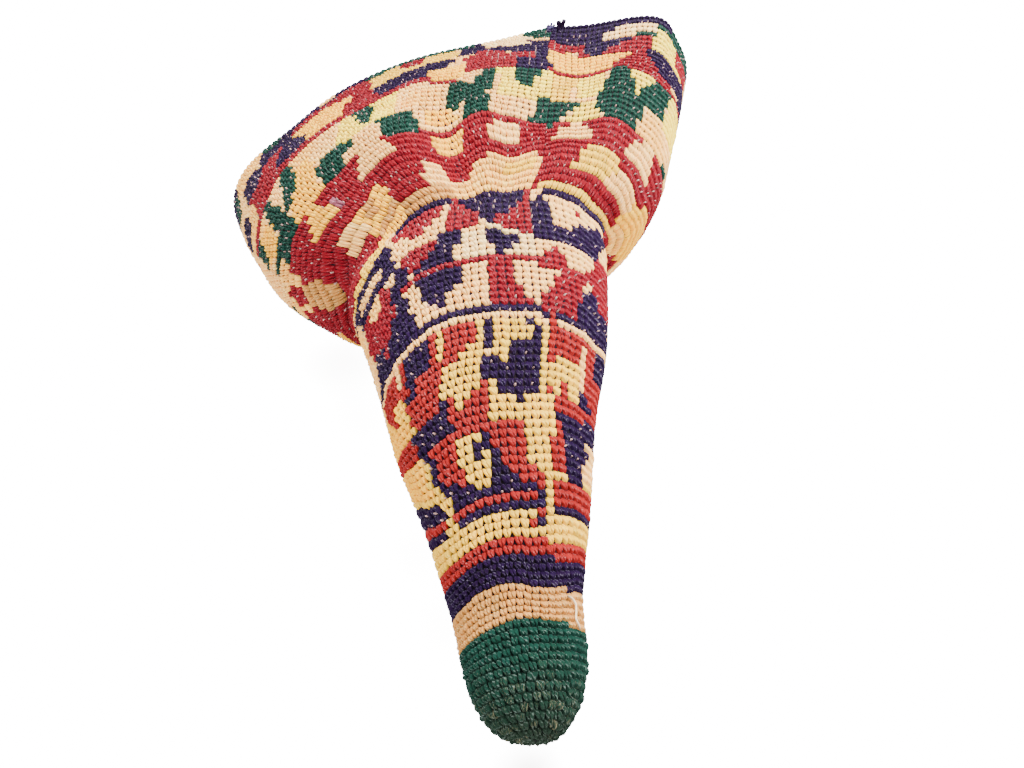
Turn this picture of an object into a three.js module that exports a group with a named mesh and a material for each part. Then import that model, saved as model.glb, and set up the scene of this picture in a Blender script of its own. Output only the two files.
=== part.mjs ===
// A crocheted prestige hat, lying on its side.
//
// The hat is one piece of thick crochet, worked in a spiral from a round closed tip. Its trunk
// widens to a neck, and beyond the neck the wide head part opens at the rim. It lies on a table
// with the tip towards -Y and the open rim towards +Y, so the underside of the head part is
// pressed flat, and its upper side stands in soft folds.
//
// Millimetres, +Z up. The origin is under the middle of the hat, on the surface it lies on.

import * as THREE from "three";

// Real sizes of the hat as it lies.
const TIP_WIDTH = 44;
const TIP_HEIGHT = 42;
const TIP_LENGTH = 39;
const TIP_ROUNDNESS = 2.4;
const TRUNK_LENGTH = 205;
const NECK_WIDTH = 124;
const NECK_RISE = 36.5;
const NECK_DROP = 34;
const HEAD_LENGTH = 105;
const RIM_WIDTH = 262;
const RIM_RISE = 58;
const RIM_DROP = 58;
const TIP_AXIS_HEIGHT = 14.8;
const NECK_AXIS_HEIGHT = 49;
const RIM_AXIS_HEIGHT = 49;
const NECK_SIDESTEP = 21.5;
const RIM_SIDESTEP = 11;
const FABRIC = 3;

// A section with squareness 2 is an ellipse, and a higher one has fuller corners.
const TRUNK_SQUARENESS = 2;

// The head part is turned about Z by this many degrees, so its left side is nearer to the tip.
const HEAD_TURN = 17;

// The crochet is counted in rows from the tip, and the rows place the sections and the folds.
const TIP_ROWS = 21;
const NECK_ROW = 76;
const RIM_ROW = 114;

// Sections of the trunk. Along is a share of the trunk's length. Side is a share of the sidestep
// of the neck. Up, wide, high and low are shares of the way from the tip's height, width and half
// height to the neck's. Turn and tilt are the section's angles in degrees, about Z and X.
const TRUNK_SECTIONS = [
  { row: 0, along: 0, side: 0, up: 0, wide: 0, high: 0, low: 0, turn: 4, tilt: 8 },
  { row: 3, along: 0.007, side: 0.03, up: 0.016, wide: 0, high: 0, low: 0, turn: 4, tilt: 8 },
  { row: 6.5, along: 0.037, side: 0.07, up: 0.047, wide: 0, high: 0, low: 0, turn: 5, tilt: 8 },
  { row: 12, along: 0.098, side: 0.12, up: 0.11, wide: 0, high: 0, low: 0, turn: 8, tilt: 9 },
  { row: TIP_ROWS, along: 0.19, side: 0.24, up: 0.234, wide: 0, high: 0, low: 0, turn: 12, tilt: 12 },
  { row: 26.5, along: 0.254, side: 0.3, up: 0.375, wide: 0.08, high: 0.19, low: 0.19, turn: 13, tilt: 13 },
  { row: 32.5, along: 0.332, side: 0.37, up: 0.516, wide: 0.18, high: 0.39, low: 0.385, turn: 13, tilt: 13 },
  { row: 44, along: 0.498, side: 0.61, up: 0.719, wide: 0.41, high: 0.84, low: 0.77, turn: 12, tilt: 12 },
  { row: 53.5, along: 0.644, side: 0.68, up: 0.859, wide: 0.61, high: 1.03, low: 0.92, turn: 12, tilt: 12 },
  { row: 63, along: 0.79, side: 0.84, up: 0.938, wide: 0.79, high: 1.1, low: 1, turn: 13, tilt: 9 },
  { row: 71, along: 0.902, side: 0.98, up: 0.984, wide: 0.92, high: 1.065, low: 1, turn: 15, tilt: 4 },
  { row: NECK_ROW, along: 1, side: 1, up: 1, wide: 1, high: 1, low: 1, turn: HEAD_TURN, tilt: 2 },
];

// Sections of the head part. Along is a share of its length. Side, wide, high and low are shares
// of the way from the neck to the rim. Tilt is about X, and roll lifts the right side, in degrees.
const HEAD_SECTIONS = [
  { row: 79, along: 0.048, side: 0, wide: 0.19, high: 0.21, low: 0.42, tilt: -6, roll: 1, square: 2.1 },
  { row: 85, along: 0.2, side: 0.27, wide: 0.47, high: 0.58, low: 0.83, tilt: -10, roll: 3, square: 2.1 },
  { row: 97, along: 0.562, side: 0.64, wide: 0.75, high: 0.91, low: 1, tilt: -5, roll: 6, square: 2.2 },
  { row: RIM_ROW, along: 1, side: 1, wide: 1, high: 1, low: 1, tilt: 0, roll: 9, square: 2.2 },
];

// Folds of the head part. Depth is inwards, as a share of the rim's rise, and a bulge has a depth
// below zero. Angle is in degrees, 0 to the right and 90 on top. Rows and degrees say how far the
// fold reaches.
const FOLDS = [
  { name: "left ridge", row: 86, angle: 109, depth: -0.13, rows: 9, degrees: 9 },
  { name: "deep groove", row: 86, angle: 95, depth: 0.12, rows: 10, degrees: 7 },
  { name: "middle ridge", row: 88, angle: 84, depth: -0.05, rows: 12, degrees: 7 },
  { name: "right hollow", row: 105, angle: 60, depth: 0.14, rows: 11, degrees: 11 },
  { name: "low middle rim", row: RIM_ROW, angle: 82, depth: 0.06, rows: 9, degrees: 12 },
  { name: "raised rim", row: RIM_ROW, angle: 40, depth: -0.12, rows: 12, degrees: 12 },
  { name: "sunken left rim", row: 112, angle: 137, depth: 0.086, rows: 12, degrees: 14 },
  { name: "sagging front", row: 84, angle: 240, depth: -0.138, rows: 9, degrees: 18 },
];

const SIDES = 45;
const TIP_RINGS = [1, 2.2, 4, 6.5, 9.5, 13, 17];
const TRUNK_RING_STEP = 4;
const HEAD_RING_STEP = 2.2;

const YARN_COLOUR = 0xb5483f;

const mix = THREE.MathUtils.lerp;
const radians = THREE.MathUtils.degToRad;

/** A row of the trunk's table as real measures. */
function trunkMeasures(section) {
  return {
    ...section,
    roll: 0,
    square: TRUNK_SQUARENESS,
    y: section.along * TRUNK_LENGTH,
    x: -section.side * NECK_SIDESTEP,
    z: mix(TIP_AXIS_HEIGHT, NECK_AXIS_HEIGHT, section.up),
    half: mix(TIP_WIDTH / 2, NECK_WIDTH / 2, section.wide),
    rise: mix(TIP_HEIGHT / 2, NECK_RISE, section.high),
    drop: mix(TIP_HEIGHT / 2, NECK_DROP, section.low),
  };
}

/** A row of the head part's table as real measures. */
function headMeasures(section) {
  return {
    ...section,
    turn: HEAD_TURN,
    y: TRUNK_LENGTH + section.along * HEAD_LENGTH,
    x: -NECK_SIDESTEP - section.side * RIM_SIDESTEP,
    z: mix(NECK_AXIS_HEIGHT, RIM_AXIS_HEIGHT, section.along),
    half: mix(NECK_WIDTH / 2, RIM_WIDTH / 2, section.wide),
    rise: mix(NECK_RISE, RIM_RISE, section.high),
    drop: mix(NECK_DROP, RIM_DROP, section.low),
  };
}

const SECTIONS = [...TRUNK_SECTIONS.map(trunkMeasures), ...HEAD_SECTIONS.map(headMeasures)];

/** Slope of one column at a section, weighted by the spans beside it. */
function slopeAt(index, column) {
  const before = SECTIONS[index - 1];
  const here = SECTIONS[index];
  const after = SECTIONS[index + 1];
  if (!before) return (after[column] - here[column]) / (after.row - here.row);
  if (!after) return (here[column] - before[column]) / (here.row - before.row);
  const spanBefore = here.row - before.row;
  const spanAfter = after.row - here.row;
  const slopeBefore = (here[column] - before[column]) / spanBefore;
  const slopeAfter = (after[column] - here[column]) / spanAfter;
  return (slopeBefore * spanAfter + slopeAfter * spanBefore) / (spanBefore + spanAfter);
}

/** A column of the sections at any row, on a smooth cubic curve. */
function smooth(row, column) {
  let index = SECTIONS.findIndex((section) => section.row > row) - 1;
  if (index < 0) index = SECTIONS.length - 2;
  const here = SECTIONS[index];
  const next = SECTIONS[index + 1];
  const span = next.row - here.row;
  const t = (row - here.row) / span;
  return (
    (2 * t ** 3 - 3 * t ** 2 + 1) * here[column] +
    (t ** 3 - 2 * t ** 2 + t) * span * slopeAt(index, column) +
    (3 * t ** 2 - 2 * t ** 3) * next[column] +
    (t ** 3 - t ** 2) * span * slopeAt(index + 1, column)
  );
}

/** How far the fabric is folded inwards at a row and an angle. */
function foldDepth(row, angle) {
  let depth = 0;
  for (const fold of FOLDS) {
    const turn = THREE.MathUtils.euclideanModulo(angle - fold.angle + 180, 360) - 180;
    const reach = ((row - fold.row) / fold.rows) ** 2 + (turn / fold.degrees) ** 2;
    depth += fold.depth * RIM_RISE * Math.exp(-reach);
  }
  return depth;
}

/** Round cap of the tip: 0 at its pole and 1 where the trunk begins. */
function capShare(distance) {
  const left = Math.max(0, 1 - distance / TIP_LENGTH);
  return (1 - left ** TIP_ROUNDNESS) ** (1 / TIP_ROUNDNESS);
}

/** A power that keeps the sign, for rounded-square sections. */
function signedPower(value, power) {
  return Math.sign(value) * Math.abs(value) ** power;
}

/** A point of the outer face. Whatever would sink below the table lies flat on it. */
function outerPoint(row, angle) {
  const cap = capShare(smooth(row, "y"));
  const power = 2 / smooth(row, "square");
  const across = signedPower(Math.cos(radians(angle)), power);
  const upwards = signedPower(Math.sin(radians(angle)), power);
  const tall = smooth(row, upwards > 0 ? "rise" : "drop");
  const flat = new THREE.Vector2(smooth(row, "half") * cap * across, tall * cap * upwards);
  flat.setLength(flat.length() - foldDepth(row, angle));
  const roll = Math.tan(radians(smooth(row, "roll")));
  const point = new THREE.Vector3(flat.x, 0, flat.y + flat.x * roll);
  point.applyAxisAngle(new THREE.Vector3(1, 0, 0), radians(smooth(row, "tilt")));
  point.applyAxisAngle(new THREE.Vector3(0, 0, 1), radians(smooth(row, "turn")));
  point.add(new THREE.Vector3(smooth(row, "x"), smooth(row, "y"), smooth(row, "z")));
  point.z = Math.max(point.z, 0);
  return point;
}

/** The rows that carry a ring of points: close at the tip, wider along the trunk. */
function ringRows() {
  const rows = [...TIP_RINGS];
  for (let row = TIP_ROWS; row < NECK_ROW - TRUNK_RING_STEP; row += TRUNK_RING_STEP) rows.push(row);
  const steps = Math.round((RIM_ROW - NECK_ROW + TRUNK_RING_STEP / 2) / HEAD_RING_STEP);
  for (let step = steps; step >= 0; step -= 1) rows.push(RIM_ROW - step * HEAD_RING_STEP);
  return rows;
}

/** Rings of points on the outer face, from the tip to the rim. */
function outerRings() {
  return ringRows().map((row) =>
    Array.from({ length: SIDES }, (_, side) => outerPoint(row, (side * 360) / SIDES)),
  );
}

/** The direction into the hat at one point of a ring. */
function inwards(rings, ring, side) {
  const before = rings[Math.max(ring - 1, 0)][side];
  const after = rings[Math.min(ring + 1, rings.length - 1)][side];
  const left = rings[ring][(side + 1) % SIDES];
  const right = rings[ring][(side + SIDES - 1) % SIDES];
  const along = after.clone().sub(before);
  const around = left.clone().sub(right);
  return along.cross(around).normalize().negate();
}

/** One closed shell: outer face, rounded lip at the rim, inner face. */
function fabricShell() {
  const outer = outerRings();
  const tip = outerPoint(0, 0);
  const inner = outer.map((points, ring) =>
    points.map((point, side) => {
      const inside = point.clone().addScaledVector(inwards(outer, ring, side), FABRIC);
      inside.z = Math.max(inside.z, FABRIC);
      return inside;
    }),
  );
  const outward = new THREE.Vector3(0, 1, 0).applyAxisAngle(
    new THREE.Vector3(0, 0, 1),
    radians(smooth(RIM_ROW, "turn")),
  );
  const last = outer.length - 1;
  const lip = outer[last].map((point, side) =>
    point.clone().add(inner[last][side]).multiplyScalar(0.5).addScaledVector(outward, FABRIC / 2),
  );
  const rings = [...outer, lip, ...inner.reverse()];
  const innerTip = tip.clone().addScaledVector(outward, FABRIC);
  const places = [tip, ...rings.flat(), innerTip].flatMap((point) => point.toArray());

  const at = (ring, side) => 1 + ring * SIDES + (side % SIDES);
  const end = 1 + rings.length * SIDES;
  const faces = [];
  for (let side = 0; side < SIDES; side += 1) {
    faces.push(0, at(0, side), at(0, side + 1));
    for (let ring = 0; ring < rings.length - 1; ring += 1) {
      faces.push(at(ring, side), at(ring + 1, side), at(ring + 1, side + 1));
      faces.push(at(ring, side), at(ring + 1, side + 1), at(ring, side + 1));
    }
    faces.push(at(rings.length - 1, side), end, at(rings.length - 1, side + 1));
  }

  const geometry = new THREE.BufferGeometry();
  geometry.setAttribute("position", new THREE.Float32BufferAttribute(places, 3));
  geometry.setIndex(faces);
  return geometry;
}

/** Moves the shell so that the origin is under its middle, on the table. */
function centred(geometry) {
  geometry.computeBoundingBox();
  const { min, max } = geometry.boundingBox;
  geometry.translate(-(min.x + max.x) / 2, -(min.y + max.y) / 2, 0);
  geometry.computeVertexNormals();
  return geometry;
}

const yarn = new THREE.MeshStandardMaterial({ color: YARN_COLOUR, roughness: 0.9, metalness: 0 });
const hat = new THREE.Mesh(centred(fabricShell()), yarn);
hat.name = "crocheted_hat";

const prestigeHat = new THREE.Group();
prestigeHat.add(hat);

export default prestigeHat;
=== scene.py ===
# %% [markdown]
# A crocheted prestige hat
#
# The hat lies on its side: a round closed tip, a trunk that widens to a neck, and a wide soft
# head part with an open rim. It is worked in one go, in a spiral of single crochet, with the
# yarns that aren't in use carried along inside the stitches. This lesson builds it the way it
# was made: a surface for the fabric, rows that wind round it, a chart that gives each stitch a
# colour, and then every stitch as its own small pair of yarn loops.

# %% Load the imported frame
import math

import bpy
import numpy as np
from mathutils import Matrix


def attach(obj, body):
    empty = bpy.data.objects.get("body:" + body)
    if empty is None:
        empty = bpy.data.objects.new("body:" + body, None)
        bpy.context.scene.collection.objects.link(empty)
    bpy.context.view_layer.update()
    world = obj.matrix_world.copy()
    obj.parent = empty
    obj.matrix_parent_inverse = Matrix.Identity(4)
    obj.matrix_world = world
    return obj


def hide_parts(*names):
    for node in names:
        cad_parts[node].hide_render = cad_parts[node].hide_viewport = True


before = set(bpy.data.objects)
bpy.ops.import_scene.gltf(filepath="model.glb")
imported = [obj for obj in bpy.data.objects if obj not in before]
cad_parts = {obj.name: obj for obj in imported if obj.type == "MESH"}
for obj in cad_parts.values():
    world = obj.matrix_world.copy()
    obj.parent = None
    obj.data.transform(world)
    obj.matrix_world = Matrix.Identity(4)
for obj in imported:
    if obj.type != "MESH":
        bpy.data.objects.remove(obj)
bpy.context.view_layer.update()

# %% [markdown]
# The shape of the fabric
#
# A soft hat could be sculpted by hand, or inflated with a cloth simulation. Here the camera sees
# folds in known places, so a formula is easier to steer: ellipse-like sections along the hat,
# joined by smooth curves, with a few dents and bulges. The sizes are those of the solid model, so
# the stitches land on its skin. Row numbers count from the tip.

# %% Sizes of the lying hat, in metres
MM = 0.001
TIP_WIDTH, TIP_HEIGHT, TIP_LENGTH, TIP_ROUNDNESS = 44 * MM, 42 * MM, 39 * MM, 2.4
TRUNK_LENGTH, HEAD_LENGTH = 205 * MM, 105 * MM
NECK_WIDTH, NECK_RISE, NECK_DROP = 124 * MM, 36.5 * MM, 34 * MM
RIM_WIDTH, RIM_RISE, RIM_DROP = 262 * MM, 58 * MM, 58 * MM
TIP_AXIS_HEIGHT, NECK_AXIS_HEIGHT, RIM_AXIS_HEIGHT = 14.8 * MM, 49 * MM, 49 * MM
NECK_SIDESTEP, RIM_SIDESTEP = 21.5 * MM, 11 * MM
FABRIC = 3 * MM
TRUNK_SQUARENESS = 2
HEAD_TURN = 17
NECK_ROW, RIM_ROW = 76, 114

# %% Sections along the trunk and the head part
# row, along, side, up, wide, high, low: shares of the way; turn, tilt: degrees
TRUNK_SECTIONS = [
    (0, 0, 0, 0, 0, 0, 0, 4, 8),
    (3, 0.007, 0.03, 0.016, 0, 0, 0, 4, 8),
    (6.5, 0.037, 0.07, 0.047, 0, 0, 0, 5, 8),
    (12, 0.098, 0.12, 0.11, 0, 0, 0, 8, 9),
    (21, 0.19, 0.24, 0.234, 0, 0, 0, 12, 12),
    (26.5, 0.254, 0.3, 0.375, 0.08, 0.19, 0.19, 13, 13),
    (32.5, 0.332, 0.37, 0.516, 0.18, 0.39, 0.385, 13, 13),
    (44, 0.498, 0.61, 0.719, 0.41, 0.84, 0.77, 12, 12),
    (53.5, 0.644, 0.68, 0.859, 0.61, 1.03, 0.92, 12, 12),
    (63, 0.79, 0.84, 0.938, 0.79, 1.1, 1, 13, 9),
    (71, 0.902, 0.98, 0.984, 0.92, 1.065, 1, 15, 4),
    (NECK_ROW, 1, 1, 1, 1, 1, 1, HEAD_TURN, 2),
]
# row, along, side, wide, high, low: shares of the way; tilt, roll: degrees; squareness
HEAD_SECTIONS = [
    (79, 0.048, 0, 0.19, 0.21, 0.42, -6, 1, 2.1),
    (85, 0.2, 0.27, 0.47, 0.58, 0.83, -10, 3, 2.1),
    (97, 0.562, 0.64, 0.75, 0.91, 1, -5, 6, 2.2),
    (RIM_ROW, 1, 1, 1, 1, 1, 0, 9, 2.2),
]
# row, angle, depth as a share of the rim's rise, reach in rows, reach in degrees
FOLDS = [
    (86, 109, -0.13, 9, 9),
    (86, 95, 0.12, 10, 7),
    (88, 84, -0.05, 12, 7),
    (105, 60, 0.14, 11, 11),
    (RIM_ROW, 82, 0.06, 9, 12),
    (RIM_ROW, 40, -0.12, 12, 12),
    (112, 137, 0.086, 12, 14),
    (84, 240, -0.138, 9, 18),
]


def between(start, end, share):
    return start + (end - start) * share


def trunk_measures(row, along, side, up, wide, high, low, turn, tilt):
    """A trunk section: row, place, half width, rise, drop, turn, tilt, roll and squareness."""
    return (
        row, -side * NECK_SIDESTEP, along * TRUNK_LENGTH, between(TIP_AXIS_HEIGHT, NECK_AXIS_HEIGHT, up),
        between(TIP_WIDTH, NECK_WIDTH, wide) / 2, between(TIP_HEIGHT / 2, NECK_RISE, high),
        between(TIP_HEIGHT / 2, NECK_DROP, low), turn, tilt, 0, TRUNK_SQUARENESS,
    )


def head_measures(row, along, side, wide, high, low, tilt, roll, square):
    """A head section, in the same order."""
    return (
        row, -NECK_SIDESTEP - side * RIM_SIDESTEP, TRUNK_LENGTH + along * HEAD_LENGTH,
        between(NECK_AXIS_HEIGHT, RIM_AXIS_HEIGHT, along), between(NECK_WIDTH, RIM_WIDTH, wide) / 2,
        between(NECK_RISE, RIM_RISE, high), between(NECK_DROP, RIM_DROP, low),
        HEAD_TURN, tilt, roll, square,
    )


SECTIONS = np.array(
    [trunk_measures(*section) for section in TRUNK_SECTIONS]
    + [head_measures(*section) for section in HEAD_SECTIONS],
    float,
)
print("sections", len(SECTIONS))


# %% A smooth curve through the sections
def section_slopes():
    """Slope of every measure at every section, weighted by the spans beside it."""
    spans = np.diff(SECTIONS[:, :1], axis=0)
    steps = np.diff(SECTIONS[:, 1:], axis=0) / spans
    slopes = np.empty_like(SECTIONS[:, 1:])
    slopes[1:-1] = (steps[:-1] * spans[1:] + steps[1:] * spans[:-1]) / (spans[1:] + spans[:-1])
    slopes[0], slopes[-1] = steps[0], steps[-1]
    return slopes


SLOPES = section_slopes()


def measures(row):
    """Place, half width, rise, drop, turn, tilt, roll and squareness at any row."""
    index = np.clip(np.searchsorted(SECTIONS[:, 0], row, side="right") - 1, 0, len(SECTIONS) - 2)
    start, end = SECTIONS[index], SECTIONS[index + 1]
    span = end[..., :1] - start[..., :1]
    t = (row[..., None] - start[..., :1]) / span
    values = (
        (2 * t**3 - 3 * t**2 + 1) * start[..., 1:]
        + (t**3 - 2 * t**2 + t) * span * SLOPES[index]
        + (3 * t**2 - 2 * t**3) * end[..., 1:]
        + (t**3 - t**2) * span * SLOPES[index + 1]
    )
    return np.moveaxis(values, -1, 0)


# %% Points of the fabric's outer face
SOLID_SIDES = 45
LOWEST_ROW = 0.02
STEP_ROWS, STEP_DEGREES = 0.25, 0.6


def signed_power(value, power):
    return np.sign(value) * np.abs(value) ** power


def fold_depth(row, angle):
    """How far the fabric is folded inwards."""
    depth = np.zeros_like(row)
    for fold_row, fold_angle, share, rows, degrees in FOLDS:
        turn = (angle - fold_angle + 180) % 360 - 180
        depth += share * RIM_RISE * np.exp(-(((row - fold_row) / rows) ** 2) - (turn / degrees) ** 2)
    return depth


def loose_face(row, angle):
    """The outer face before the hat is centred. What would sink below the floor lies on it."""
    x, y, z, half, rise, drop, turn, tilt, roll, square = measures(row)
    cap = (1 - np.maximum(0, 1 - y / TIP_LENGTH) ** TIP_ROUNDNESS) ** (1 / TIP_ROUNDNESS)
    across = signed_power(np.cos(np.radians(angle)), 2 / square)
    upwards = signed_power(np.sin(np.radians(angle)), 2 / square)
    wide = half * cap * across
    tall = np.where(upwards > 0, rise, drop) * cap * upwards
    folded = 1 - fold_depth(row, angle) / (np.hypot(wide, tall) + 1e-9)
    wide, tall = wide * folded, tall * folded
    tall = tall + wide * np.tan(np.radians(roll))
    tilt, turn = np.radians(tilt), np.radians(turn)
    back, height = -tall * np.sin(tilt), tall * np.cos(tilt)
    right = wide * np.cos(turn) - back * np.sin(turn)
    ahead = wide * np.sin(turn) + back * np.cos(turn)
    return np.stack([x + right, y + ahead, np.maximum(z + height, 0)], -1)


def centring():
    """The solid is centred over its own rings, rim lip included."""
    side_angles = np.arange(0, 360, 360 / SOLID_SIDES)
    rows, angles = np.meshgrid(np.linspace(0, RIM_ROW, 2 * RIM_ROW + 1), side_angles, indexing="ij")
    points = loose_face(rows, angles)
    turn = math.radians(HEAD_TURN)
    lip = points[-1] + np.array([-math.sin(turn), math.cos(turn), 0]) * FABRIC / 2
    corners = np.concatenate([points.reshape(-1, 3), lip])
    middle = (corners.min(0) + corners.max(0)) / 2
    return np.array([middle[0], middle[1], 0])


MIDDLE = centring()


def outer_face(row, angle):
    return loose_face(row, angle) - MIDDLE


def outward(row, angle):
    """Unit directions out of the fabric."""
    before = np.maximum(row - STEP_ROWS, LOWEST_ROW / 2)
    along = outer_face(row + STEP_ROWS, angle) - outer_face(before, angle)
    around = outer_face(row, angle + STEP_DEGREES) - outer_face(row, angle - STEP_DEGREES)
    normal = np.cross(along, around)
    return normal / (np.linalg.norm(normal, axis=-1, keepdims=True) + 1e-12)


print("middle of the hat", MIDDLE.round(4))

# %% [markdown]
# Rows that wind
#
# Crochet in the round has no closed rings: each round starts where the last one ended, one row
# higher, so every row climbs by its own height on its way round. Rows also drift, because cloth
# bunches up in its folds. Drift is given for a few rows and angles, in rows, and blended in
# between. The rows settle level again at the rim, where the work is fastened off.

# %% From a crochet row to a place on the fabric
SEAM = 68
TIP_SEAM = 46
CLIMB_AT_TOP = ((SEAM - 90) % 360) / 360
DRIFT_ANGLES = np.array([
    -90, -40, -10, 10, 30, 45, 60, 70, 80, 90,
    100, 110, 120, 130, 140, 155, 170, 190, 230, 270,
])
# row: drift in rows at the angles from -10 to 190, and there is none at the other four
DRIFT = {
    0: [0] * 16,
    12: [0] * 16,
    17.4: [-0.2, -0.35, -0.35, -0.3, -0.35, -0.1, 0.35, 0.6, 0.8, 0.6, 0.45, 0.3, 0, -0.4, -0.5, -0.4],
    22.5: [0.3, 0.1, 0, -0.5, -0.8, -0.7, -0.5, 0.2, 0.6, 0.75, 0.7, 0.6, 0.15, -0.1, -0.3, -0.3],
    30.5: [-0.4, -0.4, -0.3, -0.1, 0, -0.1, -0.2, 0.1, 0.2, 0.35, 0.2, 0, -0.15, -0.2, 0.2, 0.8],
    35: [-0.5, -0.6, -0.6, -0.3, -0.1, -0.1, -0.2, 0.1, 0.2, 0.35, 0.2, 0, -0.2, 0.3, 1.6, 3],
    56: [-1, -1.5, -1.9, -1, -0.3, -0.4, -0.35, 0, 0.2, 0.45, 0.3, -0.4, -1.1, -2.5, -4, -4],
    63.3: [-1, -1.8, -1.6, -0.9, -0.7, -0.6, -0.4, 0, 0, 0.25, 0.1, -0.9, -1.9, -4, -5, -5],
    75.5: [0.8, 0.1, -0.4, 0.2, 0.5, 0.1, -0.5, 0.3, 0.1, 0, -0.1, -1.4, -3.8, -5.5, -7.5, -8],
    83: [0, -1.9, -0.9, 0, -0.1, -1, -2.3, 0, -0.5, -0.6, -0.6, -2.1, -2.6, -3, -3.5, -4],
    88: [-0.2, -1.4, -1, -0.1, -2.1, -2.8, -1.8, 1.2, 0.3, -1.6, -0.6, -1.7, -2.8, -3.8, -4.5, -3.5],
    99.5: [1.2, 0.5, -0.5, -0.4, -2.9, -2.4, -1.8, 0.3, 3, 0.75, 0.4, -0.1, -1.4, -5.3, -6.8, -7],
    105.5: [0, -0.6, -0.8, -2.1, -1.3, -0.1, 0.5, 0.8, 1.5, 1, 1.2, 1.2, 0.5, -2, -3.5, -4],
    114.5: [0] * 16,
}
DRIFT_ROWS = np.array(list(DRIFT), float)
DRIFT_TABLE = np.array([[0, 0, *line, 0, 0] for line in DRIFT.values()], float)
LAST_EDGE = 114.5
SETTLING_ROWS = 6
STARTING_ROWS = 12
FLOOR_GAP = 0.1 * MM


def drift(row, angle):
    """Rows by which the fabric's rows stand above or below their place."""
    wrapped = (angle + 90) % 360 - 90
    column = np.clip(np.searchsorted(DRIFT_ANGLES, wrapped, side="right") - 1, 0, len(DRIFT_ANGLES) - 2)
    across = (wrapped - DRIFT_ANGLES[column]) / (DRIFT_ANGLES[column + 1] - DRIFT_ANGLES[column])
    across = across * across * (3 - 2 * across)
    line = np.clip(np.searchsorted(DRIFT_ROWS, row, side="right") - 1, 0, len(DRIFT_ROWS) - 2)
    up = np.clip((row - DRIFT_ROWS[line]) / (DRIFT_ROWS[line + 1] - DRIFT_ROWS[line]), 0, 1)
    low = between(DRIFT_TABLE[line, column], DRIFT_TABLE[line, column + 1], across)
    high = between(DRIFT_TABLE[line + 1, column], DRIFT_TABLE[line + 1, column + 1], across)
    return between(low, high, up)


def seam_at(row):
    """The angle where rounds start. It wanders to the left above the tan band."""
    return np.interp(row, [22, 28], [TIP_SEAM, SEAM])


def surface_row(row, angle):
    """The fabric's own row of a crochet row, at an angle that keeps falling on the way round."""
    climb = (SEAM - angle) / 360 - CLIMB_AT_TOP
    wound = row + climb
    settled = np.clip((LAST_EDGE - wound) / SETTLING_ROWS, 0, 1)
    started = np.clip(wound / STARTING_ROWS, 0, 1)
    return np.clip(row + climb * started * settled + drift(row, angle), LOWEST_ROW, LAST_EDGE)


def at_height(row, angle, height):
    """Points of crochet rows at a height over the fabric's outer face."""
    row, angle, height = np.broadcast_arrays(row, angle, height)
    place = surface_row(row.astype(float), angle)
    return outer_face(place, angle) + outward(place, angle) * height[..., None]


def on_fabric(row, angle, height):
    """The same, but never below the floor."""
    points = at_height(row, angle, height)
    points[..., 2] = np.maximum(points[..., 2], FLOOR_GAP)
    return points


print("one row climbs", np.ptp(on_fabric(np.array([60.0, 61.0]), -256.0, 0.0)[:, 1]).round(4), "m")

# %% [markdown]
# The colour chart
#
# A crocheter works such a pattern from a chart: for each row, where one colour stops and the next
# starts. A picture could be projected on the mesh instead, but a chart keeps the colour edges on
# the stitches, where they are on real tapestry crochet. Each patch is a colour with a few lines of
# row, left angle and right angle; a stitch takes the last patch that holds its middle.

# %% Yarn colours
YARNS = {
    "navy": (0.0115, 0.0020, 0.0240),
    "crimson": (0.215, 0.0040, 0.0115),
    "coral": (0.285, 0.0115, 0.0110),
    "ivory": (1.0, 0.64, 0.24),
    "cream": (1.0, 0.53, 0.145),
    "lemon": (1.0, 0.70, 0.042),
    "yellow": (0.86, 0.50, 0.032),
    "gold": (1.0, 0.48, 0.022),
    "peach": (1.0, 0.50, 0.095),
    "tan": (0.56, 0.25, 0.060),
    "green": (0.0035, 0.032, 0.021),
    "lilac": (0.26, 0.075, 0.11),
}
YARN_NAMES = list(YARNS)

# %% Bands and patches of the trunk
# colour, first row, last row
BANDS = [
    ("green", 0, 17.4),
    ("tan", 17.4, 22.4),
    ("navy", 22.4, 26.2),
    ("coral", 26.2, 28),
    ("yellow", 28, 30.5),
    ("navy", 30.5, 31.8),
    ("coral", 31.8, 33.2),
    ("navy", 33.2, 35.3),
    ("yellow", 35.3, 55),
    ("navy", 55, 56),
    ("cream", 56, 77.4),
    ("crimson", 77.4, 88),
    ("cream", 88, 100),
    ("crimson", 100, 101),
    ("cream", 101, 115),
]
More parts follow.
